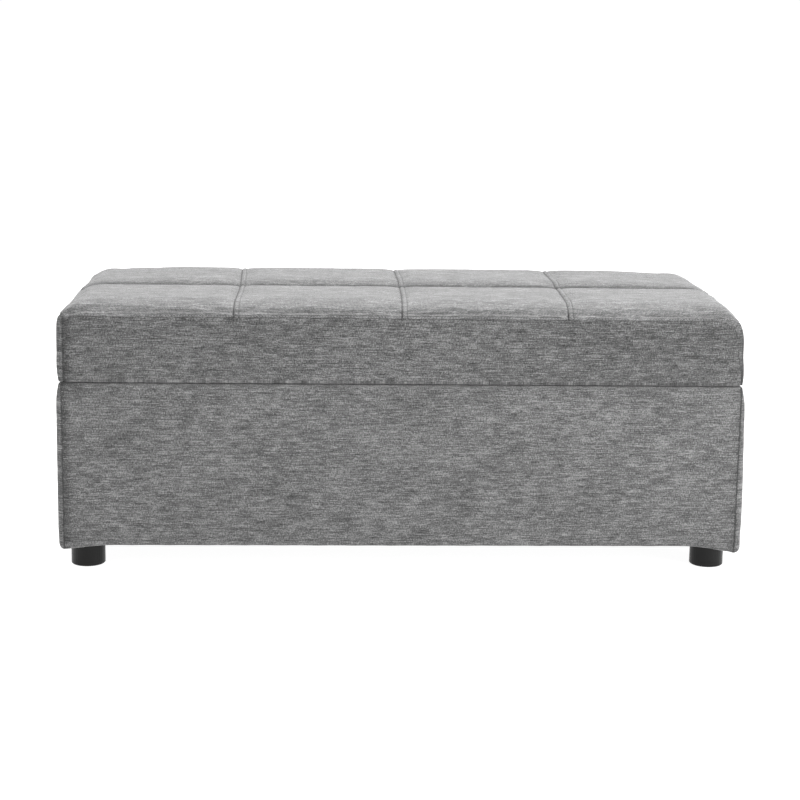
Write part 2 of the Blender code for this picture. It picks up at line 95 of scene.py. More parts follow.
# How deep each sewn line pulls the cover in, how far that reaches, and how steeply.
GROOVE_CLEFT = (6 * MM, 7 * MM)
GROOVE_SLOPE = (6 * MM, 42 * MM, 2.0)
PAD_DIP = (0.9 * MM, 34 * MM)
CROSS_DIP = (1.5 * MM, 4.5 * MM)
SECOND_ROW_DIP = (0.9 * MM, 2 * MM)
LEVEL_SEAM_DIP = (1.2 * MM, 6 * MM)
CORNER_SEAM_DIP = (1.8 * MM, 6 * MM)
LID_TUCK = (3.1 * MM, 34 * MM, 1.3)
BOX_TUCK = (3.2 * MM, 26 * MM, 1.4)
BAND_PUFF = 0.9 * MM
PAD_CROWN = 1.0 * MM
LID_HEM = 9 * MM
BOX_HEM = 16 * MM
# The covers' slack at the left and the right end.
LID_NARROW = (-1.3 * MM, 3.8 * MM)
BOX_SLACK = (1.0 * MM, 7.5 * MM)
BOX_SWELL = (0.0, 1.0 * MM)
BOX_HANG = (7 * MM, 10 * MM)
REAR_RISE = 4 * MM
FRONT_FALL = 13 * MM
FRONT_REACH = 58 * MM
# Edge radii along x, y and z.
LID_TOP_ROUND = (50 * MM, 13 * MM, 14 * MM)
LID_END_FALL = 24.5 * MM
LID_LOW_ROUND = (9 * MM, 8 * MM, 4 * MM)
BOX_TOP_ROUND = (9 * MM, 8 * MM, 4 * MM)
BOX_LOW_ROUND = (9 * MM, 9 * MM, 8 * MM)
CLOTH = 1.4 * MM
LINING = 0.9 * MM
CLOTH_FRAMES = 20
ON_LINE = 0.2 * MM


# ---------------------------------------------------------------- materials


class Maker:
    """A node material being built, with short calls for the nodes that are used often."""

    def __init__(self, name):
        self.mat = bpy.data.materials.new(name)
        self.mat.use_nodes = True
        self.tree = self.mat.node_tree
        self.shader = self.tree.nodes["Principled BSDF"]
        place = self.tree.nodes.new("ShaderNodeTexCoord")
        split = self.tree.nodes.new("ShaderNodeSeparateXYZ")
        self.tree.links.new(place.outputs["Object"], split.inputs[0])
        self.x, self.y, self.z = split.outputs
        self.place = place.outputs["Object"]

    def put(self, socket, value):
        if isinstance(value, bpy.types.NodeSocket):
            self.tree.links.new(value, socket)
        else:
            socket.default_value = value

    def math(self, kind, *values):
        node = self.tree.nodes.new("ShaderNodeMath")
        node.operation = kind
        for socket, value in zip(node.inputs, values):
            self.put(socket, value)
        return node.outputs[0]

    def add(self, a, b):
        return self.math("ADD", a, b)

    def mul(self, a, b):
        return self.math("MULTIPLY", a, b)

    def vector(self, a, b, c):
        node = self.tree.nodes.new("ShaderNodeCombineXYZ")
        for socket, value in zip(node.inputs, (a, b, c)):
            self.put(socket, value)
        return node.outputs[0]

    def stretched(self, x, y, z):
        return self.vector(self.mul(self.x, x), self.mul(self.y, y), self.mul(self.z, z))

    def noise(self, vector, scale=1.0, detail=2.0, roughness=0.5, warp=0.0):
        node = self.tree.nodes.new("ShaderNodeTexNoise")
        self.put(node.inputs["Vector"], vector)
        node.inputs["Scale"].default_value = scale
        node.inputs["Detail"].default_value = detail
        node.inputs["Roughness"].default_value = roughness
        node.inputs["Distortion"].default_value = warp
        return node.outputs["Fac"]

    def remap(self, value, a, b, c, d, smooth=False):
        node = self.tree.nodes.new("ShaderNodeMapRange")
        if smooth:
            node.interpolation_type = "SMOOTHSTEP"
        self.put(node.inputs["Value"], value)
        for name, number in (("From Min", a), ("From Max", b), ("To Min", c), ("To Max", d)):
            node.inputs[name].default_value = number
        return node.outputs["Result"]

    def ramp(self, value, *stops):
        node = self.tree.nodes.new("ShaderNodeValToRGB")
        self.put(node.inputs[0], value)
        edge = node.color_ramp.elements
        while len(edge) < len(stops):
            edge.new(0.5)
        for element, (place, colour) in zip(edge, stops):
            element.position = place
            element.color = (*colour, 1.0)
        return node.outputs["Color"]

    def greys(self, value, *stops):
        return self.ramp(value, *[(place, (tone,) * 3) for place, tone in stops])

    def bump(self, height, distance, strength=0.5):
        node = self.tree.nodes.new("ShaderNodeBump")
        node.inputs["Strength"].default_value = strength
        node.inputs["Distance"].default_value = distance
        self.put(node.inputs["Height"], height)
        self.tree.links.new(node.outputs["Normal"], self.shader.inputs["Normal"])

    def set(self, **sockets):
        for name, value in sockets.items():
            self.put(self.shader.inputs[name.replace("_", " ")], value)
        return self.mat


def fabric(name, facing, shade, contrast=1.0):
    """Slubby grey chenille. The slubs run level on the sides and lengthwise on the top."""
    m = Maker(name)
    if facing == "top":
        far = m.math("ABSOLUTE", m.add(m.y, -GROOVE_Y))
        along = m.add(m.x, m.mul(m.math("SIGN", m.x), m.mul(m.z, -1.0)))
        over_edge = m.remap(far, 0.15, 0.19, 0.0, 1.0)
        across = m.add(m.mul(over_edge, m.add(m.z, -LID_HI[2])), m.mul(far, -1.0))
        side = m.mul(m.math("SIGN", m.add(m.y, -GROOVE_Y)), 7.3)
    elif facing == "band":
        along, across, side = m.add(m.x, m.y), m.z, 1.7
    else:
        # On the level turn-ins beside the lid's parting line, the pattern runs on inwards.
        gap = m.math("ABSOLUTE", m.add(m.z, -PARTING_Z))
        level = m.remap(gap, 2 * MM, 5 * MM, 1.0, 0.0)
        out, edge = (m.y, LID_LO[1]) if facing == "long" else (m.x, LID_LO[0])
        inset = m.add(m.math("ABSOLUTE", out), edge)
        across = m.add(m.z, m.mul(m.mul(inset, level), -1.0))
        along, side = m.x, m.mul(m.math("SIGN", out), 3.1)
        if facing == "end":
            along = m.add(m.y, m.mul(inset, m.add(level, -1.0)))
    bend = m.noise(m.place, 14.0, 1.0)
    across = m.add(across, m.mul(bend, 4 * MM))

    def threads(long, high, seed, detail=2.0, roughness=0.55):
        place = m.vector(m.mul(along, 1 / long), m.mul(across, 1 / high), m.add(side, seed))
        return m.noise(place, 1.0, detail, roughness)

    slub = threads(13 * MM, 1.35 * MM, 0.0, 3.0, 0.66)
    streak = threads(40 * MM, 2.2 * MM, 11.0, 2.0)
    warp = threads(0.9 * MM, 6 * MM, 23.0, 1.0)
    knots = threads(2.4 * MM, 1.6 * MM, 37.0, 1.0)
    patch = threads(24 * MM, 12 * MM, 51.0, 2.0)
    cloud = threads(120 * MM, 60 * MM, 67.0, 3.0)
    layers = (
        (slub, 1.25),
        (streak, 1.0),
        (warp, 1.0),
        (knots, 1.2),
        (patch, 0.60),
        (cloud, 0.32),
    )
    tone = 0.5
    for layer, weight in layers:
        tone = m.add(tone, m.mul(m.add(layer, -0.5), weight * contrast))
    tone = m.add(tone, m.remap(slub, 0.60, 0.78, 0.0, 0.30, True))
    tone = m.add(tone, m.remap(slub, 0.40, 0.24, 0.0, -0.22, True))
    # Painted shading from the mesh: above 0 it darkens the cloth as painted shade in seams,
    # creases and the groove, below 0 it lightens it as a painted highlight.
    painted_shading = m.tree.nodes.new("ShaderNodeAttribute")
    painted_shading.attribute_name = "painted_shading"
    tone = m.add(tone, m.mul(painted_shading.outputs["Fac"], -0.75))
    colour = m.greys(tone, (0.0, 0.046 * shade), (0.5, 0.130 * shade), (1.0, 0.310 * shade))
    rows = m.math("SINE", m.mul(across, 2 * math.pi / (1.5 * MM)))
    height = m.add(slub, m.mul(knots, 0.5))
    height = m.add(height, m.mul(rows, 0.10))
    height = m.add(height, m.mul(warp, 0.25))
    m.bump(height, 0.9 * MM, 0.55)
    return m.set(
        Base_Color=colour,
        Roughness=m.remap(slub, 0.3, 0.7, 0.95, 0.82),
        Specular_IOR_Level=0.25,
        Sheen_Weight=0.22,
        Sheen_Roughness=0.45,
    )


def thread_material():
    m = Maker("seam_thread")
    twist = m.noise(m.stretched(900.0, 900.0, 2600.0))
    colour = m.ramp(twist, (0.2, (0.20, 0.20, 0.20)), (0.8, (0.46, 0.46, 0.47)))
    m.bump(twist, 0.15 * MM)
    rough = m.remap(twist, 0.2, 0.8, 0.6, 0.8)
    return m.set(Base_Color=colour, Roughness=rough, Sheen_Weight=0.2)


def plastic_material(name, shade):
    """Moulded satin plastic with a faint orange peel and scuffs."""
    m = Maker(name)
    peel = m.noise(m.place, 900.0, 2.0)
    wear = m.noise(m.vector(m.x, m.y, m.mul(m.z, 6.0)), 60.0, 4.0, 0.6)
    colour = m.greys(wear, (0.2, shade * 0.8), (0.6, shade), (0.9, shade * 1.5))
    m.bump(m.add(peel, m.mul(wear, 0.5)), 0.08 * MM)
    rough = m.remap(wear, 0.25, 0.8, 0.30, 0.42)
    return m.set(Base_Color=colour, Roughness=rough, Specular_IOR_Level=0.22)


def board_material():
    """Raw chipboard: pressed flakes of several browns."""
    m = Maker("chipboard")
    cells = m.tree.nodes.new("ShaderNodeTexVoronoi")
    cells.inputs["Scale"].default_value = 420.0
    m.put(cells.inputs["Vector"], m.vector(m.x, m.mul(m.y, 0.6), m.mul(m.z, 1.4)))
    flake = m.tree.nodes.new("ShaderNodeSeparateColor")
    m.put(flake.inputs[0], cells.outputs["Color"])
    fine = m.noise(m.place, 300.0, 4.0, 0.6)
    broad = m.noise(m.place, 9.0, 2.0)
    tone = m.add(m.mul(flake.outputs[0], 0.5), m.add(m.mul(fine, 0.4), m.mul(broad, 0.25)))
    colour = m.ramp(
        tone,
        (0.15, (0.22, 0.13, 0.065)),
        (0.55, (0.46, 0.32, 0.18)),
        (0.95, (0.66, 0.50, 0.32)),
    )
    m.bump(m.add(flake.outputs[0], fine), 0.25 * MM, 0.6)
    return m.set(Base_Color=colour, Roughness=m.remap(fine, 0.3, 0.7, 0.75, 0.9))


def pine_material():
    """Pine with upright grain, for the battens."""
    m = Maker("pine")
    drift = m.noise(m.place, 5.0, 2.0)
    rings = m.noise(m.stretched(260.0, 260.0, 7.0), 1.0, 4.0, 0.6, 0.4)
    fibre = m.noise(m.stretched(1500.0, 1500.0, 40.0))
    tone = m.add(m.mul(rings, 0.75), m.add(m.mul(fibre, 0.2), m.mul(drift, 0.15)))
    colour = m.ramp(
        tone,
        (0.3, (0.36, 0.22, 0.10)),
        (0.55, (0.62, 0.44, 0.24)),
        (0.8, (0.74, 0.57, 0.36)),
    )
    m.bump(m.add(fibre, rings), 0.12 * MM)
    return m.set(Base_Color=colour, Roughness=m.remap(rings, 0.3, 0.7, 0.5, 0.68))


def lining_material(name, shade):
    """Spun-bonded black lining: dimples on a diamond grid and loose fibres."""
    m = Maker(name)
    flat = m.add(m.add(m.x, m.y), m.z)
    cross = m.add(m.add(m.x, m.mul(m.y, -1.0)), m.mul(m.z, -0.7))
    pitch = 2 * math.pi / (2.4 * MM)
    dots = m.mul(m.math("SINE", m.mul(flat, pitch)), m.math("SINE", m.mul(cross, pitch)))
    fibre = m.noise(m.vector(m.x, m.mul(m.y, 2.5), m.mul(m.z, 0.6)), 700.0, 3.0, 0.6)
    broad = m.noise(m.place, 12.0, 3.0)
    tone = m.add(m.mul(fibre, 0.6), m.add(m.mul(broad, 0.3), m.mul(dots, 0.12)))
    colour = m.greys(tone, (0.2, shade * 0.5), (0.5, shade), (0.85, shade * 2.0))
    m.bump(m.add(m.mul(dots, 0.6), fibre), 0.3 * MM)
    return m.set(
        Base_Color=colour,
        Roughness=m.remap(fibre, 0.3, 0.7, 0.7, 0.88),
        Sheen_Weight=0.1,
        Specular_IOR_Level=0.35,
    )


def foam_material():
    m = Maker("cut_foam")
    cell = m.noise(m.place, 1400.0, 2.0)
    broad = m.noise(m.place, 20.0, 2.0)
    tone = m.add(m.mul(cell, 0.7), m.mul(broad, 0.3))
    colour = m.ramp(tone, (0.3, (0.55, 0.50, 0.34)), (0.7, (0.80, 0.76, 0.58)))
    m.bump(cell, 0.4 * MM, 0.7)
    return m.set(Base_Color=colour, Roughness=m.remap(cell, 0.3, 0.7, 0.85, 0.95))


def steel_material(name, shade, rough):
    """Plated steel with rolling marks and small scuffs."""
    m = Maker(name)
    rolled = m.noise(m.stretched(900.0, 60.0, 900.0), 1.0, 3.0)
    stain = m.noise(m.place, 55.0, 4.0, 0.65)
    tone = m.add(m.mul(rolled, 0.35), m.mul(stain, 0.65))
    low, high = shade * 0.72, shade * 1.1
    colour = m.ramp(tone, (0.3, (low, low, low * 1.01)), (0.7, (high, high, high * 1.02)))
    m.bump(rolled, 0.04 * MM)
    worn = m.remap(stain, 0.3, 0.75, rough, rough + 0.16)
    return m.set(Base_Color=colour, Metallic=1.0, Roughness=worn)


# One cloth in lit and shaded copies: the top copy is painted lighter than the sides, and the lid
# band copies are painted darker, as shade.
FABRIC_TOP_PAINTED_LIGHTER = fabric("grey_chenille_top_painted_lighter", "top", 0.99, 0.8)
FABRIC_LONG = fabric("grey_chenille_long", "long", 0.86, 1.07)
FABRIC_END = fabric("grey_chenille_end", "end", 0.86, 1.07)
BAND_LONG_PAINTED_DARKER = fabric("grey_chenille_band_long_painted_darker", "long", 0.75, 1.15)
BAND_END_PAINTED_DARKER = fabric("grey_chenille_band_end_painted_darker", "end", 0.75, 1.15)
TURNED_IN = fabric("grey_chenille_turned_in", "band", 0.86)
THREAD = thread_material()

SLOT_LOOKS = {
    "fabric": FABRIC_LONG,
    "foam": foam_material(),
    "board": board_material(),
    "batten": pine_material(),
    "lining": lining_material("black_lining", 0.022),
    "foot": plastic_material("black_foot_plastic", 0.005),
    "steel": steel_material("zinc_steel", 0.62, 0.28),
    "stay": steel_material("nickel_steel", 0.55, 0.24),
}


def slot_of(node):
    """The record's material slot of a CAD node, from the start of its name."""
    starts = (
        (("foot_stud", "hinge"), "steel"),
        (("stay",), "stay"),
        (("foot",), "foot"),
        (("corner_batten",), "batten"),
        (("cavity_lining", "lid_lining", "dust_cover"), "lining"),
        (("foam",), "foam"),
        (("box_cover", "lid_boxing", "quilted_top"), "fabric"),
    )
    for names, slot in starts:
        if node.startswith(names):
            return slot
    return "board"


for node_name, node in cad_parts.items():
    node.data.materials.clear()
    node.data.materials.append(SLOT_LOOKS[slot_of(node_name)])


# ---------------------------------------------------------------- mesh tools


def grid_lines(lo, hi, edge, fine=()):
    """Grid lines from lo to hi, closer together along both ends and round each seam."""
    base = np.linspace(lo, hi, max(2, int(round((hi - lo) / STEP))) + 1)
    steps = np.linspace(0, edge, 6)[1:]
    between = base[(base > lo + edge + STEP / 2) & (base < hi - edge - STEP / 2)]
    base = np.r_[lo, lo + steps, between, hi - steps[::-1], hi]
    for centre in fine:
        base = base[(base < centre - 8 * MM) | (base > centre + 13 * MM)]
        near = centre + SEAM_LINES
        base = np.sort(np.r_[base, near[(near > lo + MM) & (near < hi - MM)]])
    return np.unique(np.round(base, 7))


def box_surface(xs, ys, zs):
    """Welded quads over the six faces of a box, each with the name of its face."""
    last = (len(xs) - 1, len(ys) - 1, len(zs) - 1)
    index, points, quads, labels = {}, [], [], []

    def at(i, j, k):
        key = (i, j, k)
        if key not in index:
            index[key] = len(points)
            points.append((xs[i], ys[j], zs[k]))
        return index[key]

    def quad(label, *corners):
        quads.append(tuple(at(*corner) for corner in corners))
        labels.append(label)

    for i in range(last[0]):
        for j in range(last[1]):
            a, b, k = i + 1, j + 1, last[2]
            quad("top", (i, j, k), (a, j, k), (a, b, k), (i, b, k))
            quad("bottom", (i, j, 0), (i, b, 0), (a, b, 0), (a, j, 0))
        for k in range(last[2]):
            a, j, c = i + 1, last[1], k + 1
            quad("front", (i, 0, k), (a, 0, k), (a, 0, c), (i, 0, c))
            quad("rear", (i, j, k), (i, j, c), (a, j, c), (a, j, k))
    for j in range(last[1]):
        for k in range(last[2]):
            i, b, c = last[0], j + 1, k + 1
            quad("left", (0, j, k), (0, j, c), (0, b, c), (0, b, k))
            quad("right", (i, j, k), (i, b, k), (i, b, c), (i, j, c))
    return np.array(points), quads, labels


def smooth(value, a, b):
    part = np.clip((value - a) / (b - a), 0, 1)
    return part * part * (3 - 2 * part)


def rounded(points, lo, hi, top, low, end_fall=0.0):
    """Points of a plain box moved onto the box with rounded edges, and the way each faces."""
    height = smooth(points[:, 2], lo[2], hi[2])[:, None]
    radius = np.asarray(low) * (1 - height) + np.asarray(top) * height
    fall = end_fall * smooth(np.abs(points[:, 0]), hi[0] - 70 * MM, hi[0] - 5 * MM)
    fall *= 1 + 0.85 * (points[:, 0] > 0) * smooth(-points[:, 1], 0, -lo[1])
    radius[:, 2] = np.where(points[:, 2] > (lo[2] + hi[2]) / 2, top[2] + fall, low[2])
    core = np.minimum(np.maximum(points, lo + radius), hi - radius)
    out = (points - core) / radius
    out /= np.linalg.norm(out, axis=1, keepdims=True)
    facing = out / radius
    facing /= np.linalg.norm(facing, axis=1, keepdims=True)
    return core + radius * out, facing


def new_object(name, points, faces, material=None):
    mesh = bpy.data.meshes.new(name)
    mesh.from_pydata([tuple(p) for p in points], [], [tuple(f) for f in faces])
    mesh.update()
    obj = bpy.data.objects.new(name, mesh)
    bpy.context.scene.collection.objects.link(obj)
    if material:
        mesh.materials.append(material)
    for polygon in mesh.polygons:
        polygon.use_smooth = True
    return obj


def points_of(obj):
    co = np.empty(len(obj.data.vertices) * 3)
    obj.data.vertices.foreach_get("co", co)
    return co.reshape(-1, 3)


def move_to(obj, points):
    obj.data.vertices.foreach_set("co", np.ascontiguousarray(points, float).ravel())
    obj.data.update()


def inflate(obj, sewn, pressure, cap, growth):
    """Cloth simulation of a padded cover held along its seams, its result kept on the mesh."""
    start = points_of(obj)
    group = obj.vertex_groups.new(name="sewn")
    group.add([int(i) for i in np.flatnonzero(sewn)], 1.0, "REPLACE")
    cloth = obj.modifiers.new("Cloth", "CLOTH")
    cloth.settings.vertex_group_mass = "sewn"
    cloth.settings.quality = 5
    cloth.settings.mass = 0.25
    cloth.settings.tension_stiffness = 25
    cloth.settings.compression_stiffness = 25
    cloth.settings.shear_stiffness = 12
    cloth.settings.bending_stiffness = 1.5
    cloth.settings.use_pressure = True
    cloth.settings.uniform_pressure_force = pressure
    cloth.settings.shrink_min = -growth
    cloth.settings.effector_weights.gravity = 0
    cloth.collision_settings.use_collision = False
    cloth.point_cache.frame_start = 1
    cloth.point_cache.frame_end = CLOTH_FRAMES
    for number in range(1, CLOTH_FRAMES + 1):
        bpy.context.scene.frame_set(number)
    moved = points_of(obj.evaluated_get(bpy.context.evaluated_depsgraph_get())) - start
    obj.modifiers.remove(cloth)
    obj.vertex_groups.clear()
    bpy.context.scene.frame_set(1)
    far = np.linalg.norm(moved, axis=1)
    print("cloth", obj.name, "moved up to", round(far.max() / MM, 2), "mm")
    moved *= (cap * np.tanh(far / cap) / np.maximum(far, 1e-9))[:, None]
    move_to(obj, start + moved)


def apply_modifiers(obj):
    graph = bpy.context.evaluated_depsgraph_get()
    mesh = bpy.data.meshes.new_from_object(obj.evaluated_get(graph))
    obj.modifiers.clear()
    obj.data = mesh


def thicken(obj, thickness, offset=-1):
    solid = obj.modifiers.new("Thickness", "SOLIDIFY")
    solid.thickness = thickness
    solid.offset = offset
    apply_modifiers(obj)


def mend(obj, weld=0.0, close=False, turn=True):
    """Welds doubled points, closes holes, drops loose points and turns the faces outwards."""
    shape = bmesh.new()
    shape.from_mesh(obj.data)
    if weld:
        bmesh.ops.remove_doubles(shape, verts=shape.verts, dist=weld)
    if close:
        bmesh.ops.holes_fill(shape, edges=shape.edges, sides=0)
    loose = [v for v in shape.verts if not v.link_faces]
    bmesh.ops.delete(shape, geom=loose, context="VERTS")
    if turn:
        bmesh.ops.recalc_face_normals(shape, faces=shape.faces)
    shape.to_mesh(obj.data)
    shape.free()


def bridge(faces, base, count, rings):
    """Closed bands of quads between rings of points that follow each other from base on."""
    for ring in range(rings - 1):
        a, b = base + ring * count, base + (ring + 1) * count
        for n in range(count):
            m = (n + 1) % count
            faces.append((a + n, a + m, b + m, b + n))


def cap_ends(faces, base, count, rings):
    faces.append(tuple(base + n for n in reversed(range(count))))
    faces.append(tuple(base + (rings - 1) * count + n for n in range(count)))


def valley(distance, depth, reach, power=1.8):
    """How far a sewn line pulls the cover in: steep at the line, level at its reach."""
    return depth * np.clip(1 - np.abs(distance) / reach, 0, 1) ** power


def soft_noise(points, scale, seed):
    shift = Vector((seed * 3.7, seed * 1.3, seed * 2.9))
    return np.array([noise.noise(Vector(p) * scale + shift) for p in points])


def snapped(lines, values):
    """The grid line nearest to each value."""
    return [lines[np.abs(lines - value).argmin()] for value in values]


# ---------------------------------------------------------------- covers


def filled_cover(name, points, quads, labels, sewn, pressure, cap, growth):
    """Builds a whole cover, fills it by simulation, smooths it and splits it into its pieces.

    A face carries the number of its piece as its material index."""
    cover = new_object(name, points, quads)
    order = sorted(set(labels))
    for _ in order:
        cover.data.materials.append(FABRIC_LONG)
    for polygon, label in zip(cover.data.polygons, labels):
        polygon.material_index = order.index(label)
    inflate(cover, sewn, pressure, cap, growth)
    divided = cover.modifiers.new("Subdivision", "SUBSURF")
    divided.levels = divided.render_levels = 1
    apply_modifiers(cover)
    points = points_of(cover)
    groups = {label: [] for label in order}
    for polygon in cover.data.polygons:
        groups[order[polygon.material_index]].append(tuple(polygon.vertices))
    made = {}
    for label, faces in groups.items():
        used = np.unique(np.array([v for face in faces for v in face]))
        lookup = np.full(len(points), -1)
        lookup[used] = np.arange(len(used))
        made[label] = (points[used], [tuple(int(lookup[v]) for v in face) for face in faces])
    bpy.data.objects.remove(cover)
    return made


def side_labels(points, quads, labels, left_seam, right_seam):
    """Names the side piece of each quad. The end pieces wrap round the corners to the seams."""
    centres = points[np.array(quads)].mean(axis=1)
    made = []
    for label, centre in zip(labels, centres):
        x = centre[0]
        if x < left_seam:
            made.append("left")
        elif x > right_seam:
            made.append("right")
        elif label in ("front", "rear"):
            made.append(label)
        else:
            made.append("front" if centre[1] < 0 else "rear")
    return made


def seam_drift(points, seam):
    """Sideways drift of a cross seam: a bow, a bend at the front, and a spread to the rear."""
    part = (points[:, 1] - LID_LO[1]) / (LID_HI[1] - LID_LO[1])
    bend = CROSS_FRONT_DRIFT * np.clip(1 - part, 0, 1) ** 3
    return CROSS_BOW * np.sin(part * math.pi) + seam * CROSS_SPREAD * part - bend


def cross_seam_painted_shading(points):
    """How much painted shade each point gets beside a cross seam: up to 1 on the seam's dark side
    and along its second row, and below 0, a painted highlight, on the band between them.
    """
    near = np.zeros(len(points))
    for seam in CROSS_SEAMS:
        away = points[:, 0] - seam - seam_drift(points, seam)
        near = np.maximum(near, np.exp(-((away / (0.9 * MM)) ** 2)))
        near = np.maximum(near, 0.36 * np.exp(-(((away - BAND_WIDTH) / (0.7 * MM)) ** 2)))
        near -= 0.38 * np.exp(-(((away - 0.4 * BAND_WIDTH) / (2.2 * MM)) ** 2))
    return near


def seam_painted_shade(points, seams, heights=()):
    """Painted shade: dark lines down the corner seams and along the level ones, with a soft
    painted shade beside them.
    """
    near = np.zeros(len(points))
    for seam, shade in zip(seams, (0.42, 0.16)):
        away = points[:, 0] - seam
        near = np.maximum(near, 0.8 * np.exp(-((away / (1.3 * MM)) ** 2)))
        soft = shade * np.exp(-((away / (10 * MM)) ** 2))
        near = np.maximum(near, soft * (away * seam < 0))
    for height in heights:
        away = points[:, 2] - height
        near = np.maximum(near, 0.28 * np.exp(-((away / (1.1 * MM)) ** 2)))
    # On the lid bands, a painted shade that darkens them towards the right end.
    if heights:
        near = near + 0.13 * smooth(points[:, 0], 0.1, 0.5)
    return near


def edge_distance(place, lo, hi):
    """How far inside the outline of a box, seen from above, a place is."""
    return min(place[0] - lo[0], hi[0] - place[0], place[1] - lo[1], hi[1] - place[1])


def build_lid_cover():
    lo, hi = LID_LO, LID_HI
    xs = grid_lines(lo[0], hi[0], 30 * MM, (*CROSS_SEAMS, *LID_SEAMS))
    ys = grid_lines(lo[1], hi[1], 15 * MM, (GROOVE_Y,))
    zs = grid_lines(lo[2], hi[2], 7 * MM, (SEAM_Z,))
    left_seam, right_seam = snapped(xs, LID_SEAMS)
    flat, quads, labels = box_surface(xs, ys, zs)
    centres = flat[np.array(quads)].mean(axis=1)
    sides = side_labels(flat, quads, labels, left_seam, right_seam)
    keep, names = [], []
    for number, (label, centre) in enumerate(zip(labels, centres)):
        if label == "bottom" and edge_distance(centre, lo, hi) > LID_HEM:
            continue
        keep.append(number)
        names.append("top" if label == "top" or centre[2] > SEAM_Z else sides[number])

    # On the ends the top panel is sewn on higher up, along the edge.
    end = smooth(np.abs(flat[:, 0]), hi[0] - 11 * MM, hi[0] - 2 * MM) * (flat[:, 2] < hi[2])
    rise = np.interp(flat[:, 2], (lo[2] + 15 * MM, SEAM_Z, hi[2]), (0, END_SEAM_RISE, 0))
    raised = flat.copy()
    raised[:, 2] += rise * end
    points, facing = rounded(raised, lo, hi, LID_TOP_ROUND, LID_LOW_ROUND, LID_END_FALL)
    groove = np.abs(flat[:, 1] - GROOVE_Y)
    upper = np.isclose(flat[:, 2], hi[2])
    side = ~upper
    above = flat[:, 2] > SEAM_Z - MM
    lower = side & (flat[:, 2] < SEAM_Z + MM)
    pull = np.where(upper, valley(groove, *GROOVE_CLEFT), 0)
    rear = upper & (flat[:, 1] > GROOVE_Y - 4 * MM)
    pull += np.where(rear, valley(groove, *GROOVE_SLOPE), 0)
    for seam in CROSS_SEAMS:
        away = flat[:, 0] - seam
        dent = valley(away, *PAD_DIP) + valley(away, *CROSS_DIP)
        dent += valley(away - BAND_WIDTH, *SECOND_ROW_DIP)
        band = smooth(away, 0, 2 * MM) * (1 - smooth(away, BAND_WIDTH - 2 * MM, BAND_WIDTH))
        dent -= BAND_PUFF * band
        pull += np.where(above, dent, 0)
    pull += np.where(side, valley(flat[:, 2] - SEAM_Z, *LEVEL_SEAM_DIP), 0)
    edge_x = np.minimum(np.abs(flat[:, 0] - left_seam), np.abs(flat[:, 0] - right_seam))
    pull += np.where(lower, valley(edge_x, *CORNER_SEAM_DIP), 0)
    points = points - facing * pull[:, None]
    tuck = np.where(lower, valley(flat[:, 2] - lo[2], *LID_TUCK), 0)
    points = points - facing * (1, 1, 0) * tuck[:, None]
    for seam in CROSS_SEAMS:
        weight = np.exp(-(((flat[:, 0] - seam) / (40 * MM)) ** 2)) * above
        points[:, 0] += weight * seam_drift(flat, seam)
    # Each quilted pad starts with a low crown, which the cloth then fills.
    columns = (lo[0], *CROSS_SEAMS, hi[0])
    crown = np.zeros(len(flat))
    for west, east in zip(columns, columns[1:]):
        for south, north in ((lo[1], GROOVE_Y), (GROOVE_Y, hi[1])):
            u = (flat[:, 0] - west) / (east - west) * 2 - 1
            v = (flat[:, 1] - south) / (north - south) * 2 - 1
            inside = (np.abs(u) <= 1) & (np.abs(v) <= 1) & upper
            shape = np.clip(1 - np.abs(u) ** 5, 0, 1) * np.clip(1 - np.abs(v) ** 4, 0, 1)
            crown = np.where(inside, np.maximum(crown, shape), crown)
    points[:, 2] += PAD_CROWN * (crown - upper)
    # The rear pads stand prouder than the front ones, which fall away to the sitting edge.
    inboard = 1 - smooth(np.abs(flat[:, 0]), hi[0] - 190 * MM, hi[0] - 60 * MM)
    rise = smooth(flat[:, 1], GROOVE_Y, GROOVE_Y + 60 * MM)
    rise *= 1 - smooth(flat[:, 1], hi[1] - 20 * MM, hi[1] + MM)
    points[:, 2] += np.where(upper, REAR_RISE * rise * inboard, 0)
    slope = (1 - np.clip((flat[:, 1] - lo[1]) / FRONT_REACH, 0, 1)) ** 2
    full = 1 - smooth(np.abs(flat[:, 0]), hi[0] - 80 * MM, hi[0] - 15 * MM)
    slope *= (0.45 + 0.55 * full) * (1 + 0.15 * smooth(flat[:, 0], 0.1, 0.45))
    points[:, 2] -= FRONT_FALL * slope * smooth(flat[:, 2], SEAM_Z + MM, hi[2])
    narrow = LID_NARROW[1] * smooth(flat[:, 0], hi[0] - 80 * MM, hi[0])
    narrow += LID_NARROW[0] * smooth(-flat[:, 0], hi[0] - 80 * MM, hi[0])
    points[:, 0] -= narrow * smooth(flat[:, 2], lo[2] + 8 * MM, lo[2] + 50 * MM)

    sewn = upper & (groove < ON_LINE)
    for seam in CROSS_SEAMS:
        away = flat[:, 0] - seam
        sewn |= above & ((np.abs(away) < ON_LINE) | (np.abs(away - BAND_WIDTH) < ON_LINE))
    sewn |= side & (np.abs(flat[:, 2] - SEAM_Z) < ON_LINE)
    sewn |= lower & (edge_x < ON_LINE)
    sewn |= flat[:, 2] < lo[2] + 5 * MM
    faces = [quads[n] for n in keep]
    return filled_cover("lid_cover", points, faces, names, sewn, 4.0, 1.6 * MM, 0.005)


def give_painted_shading(obj, values):
    # Painted shading kept on the mesh's points, for the cloth material to read.
    layer = obj.data.attributes.new("painted_shading", "FLOAT", "POINT")
    layer.data.foreach_set("value", np.asarray(values, np.float32))


